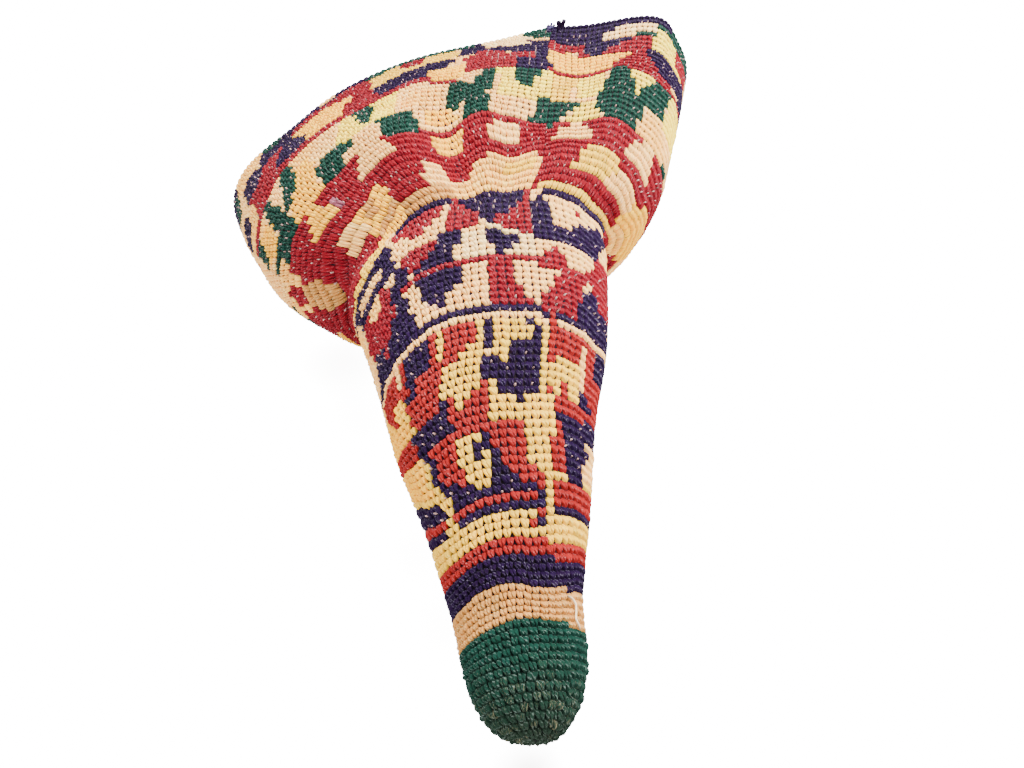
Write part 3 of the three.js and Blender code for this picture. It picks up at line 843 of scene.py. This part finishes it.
def stitch_sheets(chosen):
    """Points of both legs of the chosen stitches, shaped (2 x stitches, 5, 5, 3)."""
    row, middle, width = stitch_row[chosen], stitch_angle[chosen], stitch_width[chosen]
    tall = stitch_height[chosen]
    count = len(row)
    ridge = np.interp(row, RIDGE_ROWS, RIDGE_SHARE)[:, None]
    outer = between(OPEN_OUTER, RIDGE_OUTER, ridge)
    height = between(OPEN_HEIGHT, RIDGE_HEIGHT, ridge)
    places = between(TOOTH_ALONG, LEG_ALONG, ridge)
    sink = STITCH_SINK + tip_sink(row)[:, None, None]
    lean = random.normal(LEAN, LEAN_SPREAD, (count, 1)) * loose_tip(row)[:, None]
    sheets = []
    for side in (1, -1):
        size = 1 + random.normal(0, SIZE_SPREAD, (count, 1)) * loose_tip(row)[:, None]
        lift = random.normal(LIFT * side, LIFT_SPREAD, (count, 1))
        inner = side * (GROOVE_LEAN * places + random.normal(0, GROOVE_SPREAD, (count, 1)))
        centre = side * (outer + inner) / 2 + lean * places
        reach = (outer - inner) / 2 + LEG_OVERLAP
        spread = centre[:, :, None] + side * reach[:, :, None] * LEG_ACROSS
        along = row[:, None] + (places + lift) * tall[:, None]
        raised = (height * size)[:, :, None] * LEG_DOME * STITCH_RISE - sink
        angle = middle[:, None, None] + spread * width[:, None, None]
        points = on_fabric(along[:, :, None], angle, raised)
        sheets.append(points if side == 1 else points[:, :, ::-1])
    return np.concatenate(sheets)


ZONES = [
    ("hat_green_tip", 0, 18),
    ("hat_banded_trunk", 18, 36),
    ("hat_patterned_trunk", 36, 57),
    ("hat_neck", 57, 78),
    ("hat_head_front", 78, 91),
    ("hat_head_middle", 91, 103),
    ("hat_head_rim", 103, 115),
]
for name, first, last in ZONES:
    chosen = np.flatnonzero((stitch_row >= first) & (stitch_row < last))
    sheets_mesh(name, stitch_sheets(chosen), np.tile(stitch_dye[chosen], (2, 1)), turned=True)

# %% [markdown]
# The core of the fabric
#
# Between the stitches one looks down on the carried yarns and into shadow. A plain dark skin just
# below the stitches stands for them: its colour is that of dark carried yarn, darkened with
# painted shade. Single strands could be run there instead, but nobody could tell them apart.
# A second skin lies on the inside, and the two meet at the rim, so that the hat is closed
# wherever one looks.

# %% Outer and inner skins of the core
CORE_OUTER = -0.95 * MM
CORE_INNER = -2.2 * MM
# the core's colours: dark carried yarn, darkened further with painted shade
CORE_YARN_AND_SHADE_COLOUR = (0.012, 0.006, 0.010)
TIP_CORE_YARN_AND_SHADE_COLOUR = (0.002, 0.010, 0.007)
PLAIN = 2.0
CORE_ROWS, CORE_SIDES = 116, 120
CORE_PAST_RIM = 0.3
CORE_FLOOR_GAP = 0.2 * MM
TIP_CORE_ROW = 18


def core_skin(depth):
    """A closed skin at a depth, as points shaped (rows, sides + 1, 3)."""
    rows, angles = np.meshgrid(
        np.linspace(LOWEST_ROW, RIM_ROW + CORE_PAST_RIM, CORE_ROWS),
        np.linspace(0, 360, CORE_SIDES + 1),
        indexing="ij",
    )
    inwards = depth - tip_sink(rows)
    points = outer_face(rows, angles) + outward(rows, angles) * inwards[..., None]
    points[..., 2] = np.maximum(points[..., 2], CORE_FLOOR_GAP - inwards)
    return points


outer_skin, inner_skin = core_skin(CORE_OUTER), core_skin(CORE_INNER)
core_points = np.concatenate([outer_skin, inner_skin[::-1]])
core = sheets_mesh("hat_core", core_points[None], np.array([[*CORE_YARN_AND_SHADE_COLOUR, PLAIN]]), turned=True)
tip_count = TIP_CORE_ROW * (CORE_SIDES + 1)
# the painted shade colour goes into the same colour layer as the stitches' dyes
core_colour_and_shade = np.tile([*TIP_CORE_YARN_AND_SHADE_COLOUR, PLAIN], (len(core.data.vertices), 1))
core_colour_and_shade[tip_count:-tip_count, :3] = CORE_YARN_AND_SHADE_COLOUR
core.data.color_attributes["dye_and_shade"].data.foreach_set("color", core_colour_and_shade.astype(np.float32).ravel())

# %% [markdown]
# The inside
#
# The back of single crochet shows low bars that lie across, one for each stitch. A bumpy skin
# would do from afar, but the inside of the head part is in plain view from behind, so each bar is
# a small mound, in a darker shade of its stitch's dye.

# %% Bars on the inside
MOUND = np.outer([0, 1, 1, 0], [0, 1, 1, 0])
BAR_RISE = 0.9 * MM
BAR_EDGE = np.array([-0.5, -0.2, 0.2, 0.5])
BAR_TALL = 0.92
BAR_SIZE_SPREAD, BAR_SHIFT_SPREAD = 0.12, 0.05
BAR_OVER_CORE, BAR_FLOOR_GAP = 0.15 * MM, 0.3 * MM
INSIDE_FROM, INSIDE_SPLIT = 57, 97
# the fourth value is the wear, which stays as it is
INSIDE_TINT = [0.82, 0.74, 0.90, 1]
INSIDE_VEIL = [0.015, 0.012, 0.025, 0]


def bar_sheets(chosen):
    """Points of the inside bars, shaped (stitches, 4, 4, 3)."""
    row, middle, width = stitch_row[chosen], stitch_angle[chosen], stitch_width[chosen]
    across, along = np.meshgrid(BAR_EDGE, BAR_EDGE * BAR_TALL)
    size = random.normal(1, BAR_SIZE_SPREAD, (len(row), 1, 1))
    shift = random.normal(0, BAR_SHIFT_SPREAD, (len(row), 1, 1))
    angle = middle[:, None, None] + across * width[:, None, None]
    depth = CORE_INNER + BAR_OVER_CORE - MOUND * BAR_RISE * size
    points = at_height(row[:, None, None] + along + shift, angle, depth)
    points[..., 2] = np.maximum(points[..., 2], BAR_FLOOR_GAP - depth)
    return points


inside = np.flatnonzero(stitch_row > INSIDE_FROM)
in_front = stitch_row[inside] < INSIDE_SPLIT
for name, chosen in (("hat_inside_front", inside[in_front]), ("hat_inside_rim", inside[~in_front])):
    sheets_mesh(name, bar_sheets(chosen), stitch_dye[chosen] * INSIDE_TINT + INSIDE_VEIL)

# %% [markdown]
# Carried yarn
#
# Where a dark colour is worked over a light one, tiny pieces of the light yarn show through in
# the gaps. Speckles in the material would lie on the dark yarn instead of between its loops, so
# each fleck is a little mound in the gap beside a stitch's point.

# %% Flecks of carried yarn
FLECK_SHARE = 0.27
FLECKS_FROM = 28
FLECK_RISE = 1.25 * MM
# places and half sizes as shares of a stitch's width and of a row
FLECK_ACROSS, FLECK_ALONG = 0.47, -0.36
FLECK_HALF_WIDTH, FLECK_HALF_HEIGHT = 0.13, 0.15
FLECK_COLOUR = np.array([0.72, 0.43, 0.38])
FLECK_DIMMEST, FLECK_BRIGHTEST = 0.3, 1.2
DARK_YARNS = [YARN_NAMES.index(name) for name in ("navy", "green", "crimson")]


def fleck_sheets(chosen):
    """Points of the flecks, shaped (flecks, 4, 4, 3)."""
    row, middle, width = stitch_row[chosen], stitch_angle[chosen], stitch_width[chosen]
    across = np.linspace(-FLECK_HALF_WIDTH, FLECK_HALF_WIDTH, 4)
    along = np.linspace(-FLECK_HALF_HEIGHT, FLECK_HALF_HEIGHT, 4)
    across, along = np.meshgrid(across, along)
    angle = middle[:, None, None] + (FLECK_ACROSS + across) * width[:, None, None]
    return on_fabric(row[:, None, None] + FLECK_ALONG + along, angle, MOUND * FLECK_RISE + CORE_OUTER)


shows = random.random(len(stitch_row)) < FLECK_SHARE
shows &= np.isin(stitch_yarn, DARK_YARNS) & (stitch_row > FLECKS_FROM)
flecked = np.flatnonzero(shows)
fleck_dye = FLECK_COLOUR * random.uniform(FLECK_DIMMEST, FLECK_BRIGHTEST, (len(flecked), 1))
sheets_mesh("hat_carried_yarn", fleck_sheets(flecked), fleck_dye, turned=True)

# %% [markdown]
# The rim
#
# The last round has no row above it. Its top loops lie over the edge as a thin chain, slanted
# like a rope. One tube with a twisted bump would stay smooth in outline, so the chain is made of
# beads that overlap, one for each stitch.

# %% The chain along the rim
CHAIN_POINTS, CHAIN_SIDES = 7, 8
CHAIN_RADIUS = 1.45 * MM
CHAIN_REACH, CHAIN_TAPER = 0.62, 0.66
CHAIN_ROW, CHAIN_STEP = RIM_ROW + 0.1, 0.3
CHAIN_HEIGHT = CORE_OUTER * 1.25
CHAIN_SLANT, CHAIN_PAST_RIM = 0.7 * MM, 0.3 * MM


def chain_sheets(chosen):
    """One bead of chain for each stitch, shaped (stitches, CHAIN_POINTS, CHAIN_SIDES + 1, 3)."""
    middle, width = stitch_angle[chosen], stitch_width[chosen]
    share = np.linspace(-CHAIN_REACH, CHAIN_REACH, CHAIN_POINTS)
    angle = middle[:, None] + share * width[:, None]
    row = np.full(angle.shape, CHAIN_ROW)
    normal = outward(row, angle)
    past = outer_face(row + CHAIN_STEP, angle) - outer_face(row, angle)
    past = past / np.linalg.norm(past, axis=-1, keepdims=True)
    slant = (share * CHAIN_SLANT)[:, None]
    centre = outer_face(row, angle) + normal * (CHAIN_HEIGHT - slant) + past * CHAIN_PAST_RIM
    radius = CHAIN_RADIUS * np.sqrt(np.clip(1 - (share / CHAIN_TAPER) ** 2, 0, 1))
    turn = np.linspace(np.pi, 3 * np.pi, CHAIN_SIDES + 1)
    offset = normal[:, :, None] * np.cos(turn)[:, None] + past[:, :, None] * np.sin(turn)[:, None]
    points = centre[:, :, None] + offset * radius[:, None, None]
    points[..., 2] = np.maximum(points[..., 2], FLOOR_GAP)
    return points


sheets_mesh("hat_rim_chain", chain_sheets(last_round), stitch_dye[last_round])

# %% [markdown]
# Loose strands
#
# A cream thread lies on the tan band, and a navy end of yarn and a lavender tuft stand up at the
# rim. Curves with a round bevel would do as well, but swept tubes of points can go through the
# same helper as the stitches, and so they get the same two maps. Their points are listed one by one.

# %% A tube along points
THREAD_SIDES = 8
RINGS_PER_POINT = 8
SMOOTHINGS = 6
END_TAPER, END_SHARE = 30, 0.02
NEVER_ALONG = [0.3, 0.2, 0.93]


def thread(name, path, radius, colour):
    """A tube along smooth points, rounded off at its ends."""
    path = np.array(path)
    steps = np.linspace(0, 1, len(path))
    fine = np.linspace(0, 1, RINGS_PER_POINT * len(path))
    curve = np.stack([np.interp(fine, steps, path[:, axis]) for axis in range(3)], -1)
    for _ in range(SMOOTHINGS):
        curve[1:-1] = (curve[:-2] + 2 * curve[1:-1] + curve[2:]) / 4
    along = np.gradient(curve, axis=0)
    along /= np.linalg.norm(along, axis=1, keepdims=True)
    side = np.cross(along, NEVER_ALONG)
    side /= np.linalg.norm(side, axis=1, keepdims=True)
    up = np.cross(side, along)
    turn = np.linspace(0, 2 * np.pi, THREAD_SIDES + 1)
    taper = np.sqrt(np.clip(np.minimum(fine, 1 - fine) * END_TAPER, END_SHARE, 1))
    ring = side[:, None] * np.cos(turn)[:, None] + up[:, None] * np.sin(turn)[:, None]
    points = curve[:, None] + ring * (radius * taper)[:, None, None]
    sheets_mesh(name, points[None], np.array([colour]))


def falling(angle):
    """An angle as the rounds count it, down from the seam."""
    return SEAM - (SEAM - angle) % 360


# %% The thread on the tan band
LOOSE_RADIUS = 0.34 * MM
LOOSE_CREAM = (0.95, 0.70, 0.42)
# row, angle in degrees, height in millimetres
TAN_THREAD = [
    (22.0, 47, 0.2), (21.6, 42, 0.9), (20.6, 38, 1.0), (19.6, 39.5, 1.0),
    (18.6, 41, 0.9), (17.8, 37, 0.7), (17.2, 33, 0.1),
]
tan_path = [on_fabric(row, falling(angle), height * MM) for row, angle, height in TAN_THREAD]
thread("hat_loose_thread", tan_path, LOOSE_RADIUS, LOOSE_CREAM)

# %% The tuft and the yarn end at the rim
TUFT_LILAC = (0.13, 0.10, 0.24)
RIM_STRANDS_ANGLE = 69.5
RIM_STRANDS_HEIGHT = -0.5 * MM
# steps away from one place at the rim, then a radius, all in millimetres
TUFT_TUBES = [
    ([(-3.2, 0, -1.2), (-2.9, 0.3, 0.2), (-2.4, 0.5, 1.2), (-1.9, 0.5, 1.9)], 0.8),
    ([(-1.8, 0, -1.0), (-1.4, 0.3, 0.6), (-0.9, 0.5, 1.8), (-0.6, 0.5, 3.0)], 0.6),
    ([(-0.2, 0, -1.0), (0.1, 0.3, 0.6), (0.5, 0.5, 1.4), (0.9, 0.5, 2.1)], 0.7),
    ([(-2.6, -0.4, -1.6), (-2.0, 0, 0), (-1.0, 0.3, 0.9), (0.2, 0.3, 0.6)], 0.9),
]
STUB_TUBES = [
    ([(3.4, 0, -1.5), (3.3, 0.4, 0.8), (3.1, 0.6, 2.4), (2.9, 0.4, 3.7)], 1.3),
    ([(4.2, 0, -1.5), (4.6, 0.4, 0.8), (5.3, 0.6, 2.6), (5.9, 0.4, 4.6)], 1.1),
    ([(3.4, 0.2, -0.5), (4.0, 0.6, 0.6), (4.7, 0.6, 1.6), (4.4, 0.4, 2.6)], 1.3),
]
RIM_STRANDS = [
    ("hat_yarn_tuft", TUFT_LILAC, TUFT_TUBES),
    ("hat_yarn_stub", YARNS["navy"], STUB_TUBES),
]
rim_place = on_fabric(RIM_ROW, falling(RIM_STRANDS_ANGLE), RIM_STRANDS_HEIGHT)
for name, colour, tubes in RIM_STRANDS:
    for number, (steps, radius) in enumerate(tubes, 1):
        path = [rim_place + np.array(step) * MM for step in steps]
        thread(f"{name}_{number}", path, radius * MM, colour)

# %% [markdown]
# Shader maths in plain expressions
#
# Node trees get long when each sum and product is its own call, and a tree drawn by hand can't be
# read in a script. A small class wraps a socket instead, so that ordinary operators add the Math
# nodes. A Math node turns a colour grey, so colours and vectors go through Mix and Vector Math.


# %% A socket that can be calculated with
class Socket:
    """A node socket with arithmetic."""

    def __init__(self, tree, link=None):
        self.tree = tree
        self.link = link

    def node(self, kind, settings=None, **inputs):
        """Adds any node. Settings come first, then the values or links of its sockets."""
        made = self.tree.nodes.new(kind)
        for key, value in (settings or {}).items():
            setattr(made, key, value)
        for key, value in inputs.items():
            socket = int(key[1:]) if key[1:].isdigit() else key.replace("_", " ")
            if isinstance(value, Socket):
                self.tree.links.new(value.link, made.inputs[socket])
            else:
                made.inputs[socket].default_value = value
        return made

    def result(self, output, kind, settings=None, **inputs):
        """Adds any node and gives one of its outputs."""
        return Socket(self.tree, self.node(kind, settings, **inputs).outputs[output])

    def math(self, operation, *values):
        inputs = {f"i{number}": value for number, value in enumerate(values)}
        return self.result(0, "ShaderNodeMath", {"operation": operation}, **inputs)

    def vector(self, operation, *values):
        inputs = {f"i{number}": value for number, value in enumerate(values)}
        return self.result(0, "ShaderNodeVectorMath", {"operation": operation}, **inputs)

    def mixed(self, factor, first, second):
        """A colour between two colours."""
        settings = {"data_type": "RGBA", "clamp_factor": True}
        return self.result(2, "ShaderNodeMix", settings, Factor=factor, i6=first, i7=second)

    def noise(self, scale, detail, roughness=0.5):
        """Noise at the places that this socket gives."""
        inputs = {"Scale": scale, "Detail": detail, "Roughness": roughness}
        return self.result("Fac", "ShaderNodeTexNoise", Vector=self, **inputs)

    def __add__(self, other):
        return self.math("ADD", self, other)

    def __sub__(self, other):
        return self.math("SUBTRACT", self, other)

    def __mul__(self, other):
        return self.math("MULTIPLY", self, other)

    def __rsub__(self, other):
        return self.math("SUBTRACT", other, self)

    __radd__ = __add__
    __rmul__ = __mul__


# %% [markdown]
# Cotton yarn
#
# The yarn is soft, matte cotton of a few plies twisted together. Its colour comes from the dye
# of each stitch, with fine fibres that lighten it here and there. Painted shade darkens it between
# the plies and towards the edges of each loop, and painted glints stand for light on single
# fibres. Real plies and fibres would need millions of faces, so bump gives the twist and the fuzz.
# A coat or gloss would be wrong here: roughness is high everywhere, with a faint sheen.

# %% What the yarn's nodes start from
PLY_TURNS, PLY_SLANT = 2.2, 1.1
FIBRE_SCALE, HANDLING_SCALE, GLINT_SCALE, STREAK_SCALE = 1900.0, 55.0, 420.0, 1.4
hat_material.use_nodes = True
tree = hat_material.node_tree
tree.nodes.clear()
start = Socket(tree)
ply_map = start.result("UV", "ShaderNodeUVMap", {"uv_map": "Ply"})
split = start.node("ShaderNodeSeparateXYZ", Vector=ply_map)
across, along = Socket(tree, split.outputs["X"]), Socket(tree, split.outputs["Y"])
dye_layer = start.node("ShaderNodeAttribute", {"attribute_name": "dye_and_shade"})
dye_and_shade, fresh = Socket(tree, dye_layer.outputs["Color"]), Socket(tree, dye_layer.outputs["Alpha"])
place = start.result("Object", "ShaderNodeTexCoord")
ply = start.math("SINE", (along * PLY_TURNS - across * PLY_SLANT) * (2 * math.pi)) * 0.5 + 0.5
fibres = place.noise(FIBRE_SCALE, 3.0, 0.65)
handling = place.noise(HANDLING_SCALE, 2.0)

# %% Painted shade within a loop, between its plies and towards its edges
# painted shade: the colour darkens towards a loop's edges, where it sinks into the gaps
edge_shade_across = start.math("POWER", start.math("ABSOLUTE", across * 2.0 - 1.0), 5.0)
edge_shade_along = start.math("POWER", start.math("ABSOLUTE", along * 2.0 - 1.0), 4.0)
painted_edge_shading = (1.0 - edge_shade_across * 0.5) * (1.0 - edge_shade_along * 0.65)
# painted shade between the plies, with random lighter fibres and handling on top
tone_and_painted_shade = (ply * 0.14 + fibres * 0.4 + handling * 0.2 + 0.72) * painted_edge_shading
scaling = {"operation": "SCALE"}
shaded = start.result("Vector", "ShaderNodeVectorMath", scaling, Vector=dye_and_shade, Scale=tone_and_painted_shade)

# %% Painted glints: highlights of single fibres painted into the colour
GLINT_STRENGTH, GLINT_LIMIT = 1.5, 0.32
GLINT_GAIN, GLINT_LIFT = (1.0, 4.0, 4.0), (0.30, 0.27, 0.27)
# painted highlights: small bright glints in patches, in a light tint of the dye, none on the core
patchy = start.math("MAXIMUM", place.noise(GLINT_SCALE, 1.0) * 5.0 - 1.9, 0.0)
painted_glints = start.math("MAXIMUM", ply * 0.3 + fibres - 0.72, 0.0) * patchy * GLINT_STRENGTH
painted_glints = start.math("MINIMUM", painted_glints, GLINT_LIMIT) * start.math("MINIMUM", 2.0 - fresh, 1.0)
glint_colour = start.vector("MULTIPLY_ADD", dye_and_shade, GLINT_GAIN, GLINT_LIFT)
glint_light = start.vector("MINIMUM", glint_colour, (1.0, 1.0, 1.0))
lit = start.mixed(painted_glints, shaded, glint_light)

# %% Pale streaks where the yarn is worn
WORN_YARN = (0.26, 0.22, 0.12, 1.0)
streak_x = across * 3.4 + along * 1.6
streak_place = start.result(0, "ShaderNodeCombineXYZ", X=streak_x, Y=along * 0.7, Z=handling * 60.0)
streaks = streak_place.noise(STREAK_SCALE, 2.0)
worn_light = start.math("MAXIMUM", streaks * 7.0 - 3.2 - fresh * 1.1, 0.0)
worn_share = start.math("MINIMUM", worn_light, 1.0) * start.math("MAXIMUM", 1.0 - fresh, 0.0)
faded = start.mixed(worn_share * 0.8 * painted_edge_shading, lit, WORN_YARN)

# %% The finished surface
bumpy = ply * 0.75 + fibres * 0.5
surface = start.result(
    "BSDF",
    "ShaderNodeBsdfPrincipled",
    Base_Color=faded,
    Roughness=0.92,
    Normal=start.result("Normal", "ShaderNodeBump", Strength=0.55, Distance=0.0004, Height=bumpy),
    Sheen_Weight=0.02,
    Sheen_Roughness=0.6,
    Specular_IOR_Level=0.08,
)
start.node("ShaderNodeOutputMaterial", Surface=surface)
print("yarn nodes", len(tree.nodes))

# %% [markdown]
# Floor, light and camera
#
# The photograph has a white floor and broad, soft light from above, with the faintest of shadows.
# A floor that only takes light would come out grey as long as the hat isn't overlit. So this one
# also glows, for the camera alone, and a few faint painted shadows, to the left of the trunk and
# under the tip, are worked into the glow. A bright even surrounding, a large lamp and a weak one
# light the hat. The camera is a phone's wide lens.

# %% Floor
FLOOR_SIZE = 6.0
FLOOR_GLOW = 18.0
FLOOR_COLOUR = (0.92, 0.92, 0.92, 1.0)
GLOW_COLOUR, PAINTED_SHADOW_COLOUR = (1.0, 1.0, 1.0, 1.0), (0.14, 0.105, 0.095, 1.0)
# painted shadows: place on the floor, reach, depth
FLOOR_PAINTED_SHADOWS = [
    (-0.058, 0.012, 0.022, 0.42),
    (-0.046, -0.028, 0.022, 0.22),
    (-0.014, -0.096, 0.018, 0.22),
    (0.0, -0.128, 0.018, 0.22),
    (0.031, -0.180, 0.011, 0.80),
]
half = FLOOR_SIZE / 2
corners = [(-half, -half, 0), (half, -half, 0), (half, half, 0), (-half, half, 0)]
floor_mesh = bpy.data.meshes.new("floor")
floor_mesh.from_pydata(corners, [], [(0, 1, 2, 3)])
floor = bpy.data.objects.new("floor", floor_mesh)
bpy.context.scene.collection.objects.link(floor)
floor_material = bpy.data.materials.new("pale_floor")
floor_material.use_nodes = True
floor_material.node_tree.nodes.clear()
paper = Socket(floor_material.node_tree)
floor_place = paper.result("Object", "ShaderNodeTexCoord")
shade = 0.0
# each painted shadow darkens the glow around one place on the floor
for x, y, reach, depth in FLOOR_PAINTED_SHADOWS:
    distance = {"operation": "DISTANCE"}
    away = paper.result("Value", "ShaderNodeVectorMath", distance, i0=floor_place, i1=(x, y, 0))
    nearness = away * (1 / reach)
    shade = paper.math("EXPONENT", nearness * nearness * -1.0) * depth + shade
glow_colour = paper.mixed(shade, GLOW_COLOUR, PAINTED_SHADOW_COLOUR)
glow = paper.result(0, "ShaderNodeEmission", Strength=FLOOR_GLOW, Color=glow_colour)
dim = paper.result(0, "ShaderNodeEmission", Strength=0.0)
seen = paper.result("Is Camera Ray", "ShaderNodeLightPath")
glowing = paper.result(0, "ShaderNodeMixShader", Fac=seen, i1=dim, i2=glow)
plain_paper = paper.result(0, "ShaderNodeBsdfDiffuse", Color=FLOOR_COLOUR)
both = paper.result(0, "ShaderNodeAddShader", i0=plain_paper, i1=glowing)
paper.node("ShaderNodeOutputMaterial", Surface=both)
floor_mesh.materials.append(floor_material)
print("floor shades", len(FLOOR_PAINTED_SHADOWS))

# %% Light
SURROUNDING_COLOUR, SURROUNDING_STRENGTH = (1.0, 1.0, 1.0, 1), 1.3
LAMP_TARGET = np.array([0.0, 0.0, 0.03])
# name, place, size in metres, power in watts
LAMPS = [
    ("key_light", (0.35, 0.45, 1.1), 0.8, 54),
    ("fill_light", (-0.9, -0.7, 0.9), 1.0, 8),
]
world = bpy.data.worlds.new("studio")
bpy.context.scene.world = world
world.use_nodes = True
background = world.node_tree.nodes["Background"]
background.inputs["Color"].default_value = SURROUNDING_COLOUR
background.inputs["Strength"].default_value = SURROUNDING_STRENGTH
for name, spot, size, power in LAMPS:
    light = bpy.data.lights.new(name, "AREA")
    light.size, light.energy = size, power
    lamp = bpy.data.objects.new(name, light)
    lamp.location = spot
    aim = LAMP_TARGET - np.array(spot)
    tip_over = math.atan2(math.hypot(aim[0], aim[1]), -aim[2])
    lamp.rotation_euler = (tip_over, 0, math.atan2(-aim[0], aim[1]))
    bpy.context.scene.collection.objects.link(lamp)
print("lamps", len(LAMPS))

# %% Camera
CAMERA_PLACE = (0.0251, -0.2637, 0.261)
CAMERA_TILT = 45
FOCAL_PIXELS, IMAGE_WIDTH, SENSOR = 770, 1024, 36
CLIP_START = 0.01
camera_data = bpy.data.cameras.new("camera")
camera_data.sensor_width = SENSOR
camera_data.lens = FOCAL_PIXELS / IMAGE_WIDTH * SENSOR
camera_data.clip_start = CLIP_START
camera = bpy.data.objects.new("camera", camera_data)
camera.location = CAMERA_PLACE
camera.rotation_euler = (math.radians(CAMERA_TILT), 0, 0)
bpy.context.scene.collection.objects.link(camera)
bpy.context.scene.camera = camera
print("lens", round(camera_data.lens, 2), "mm")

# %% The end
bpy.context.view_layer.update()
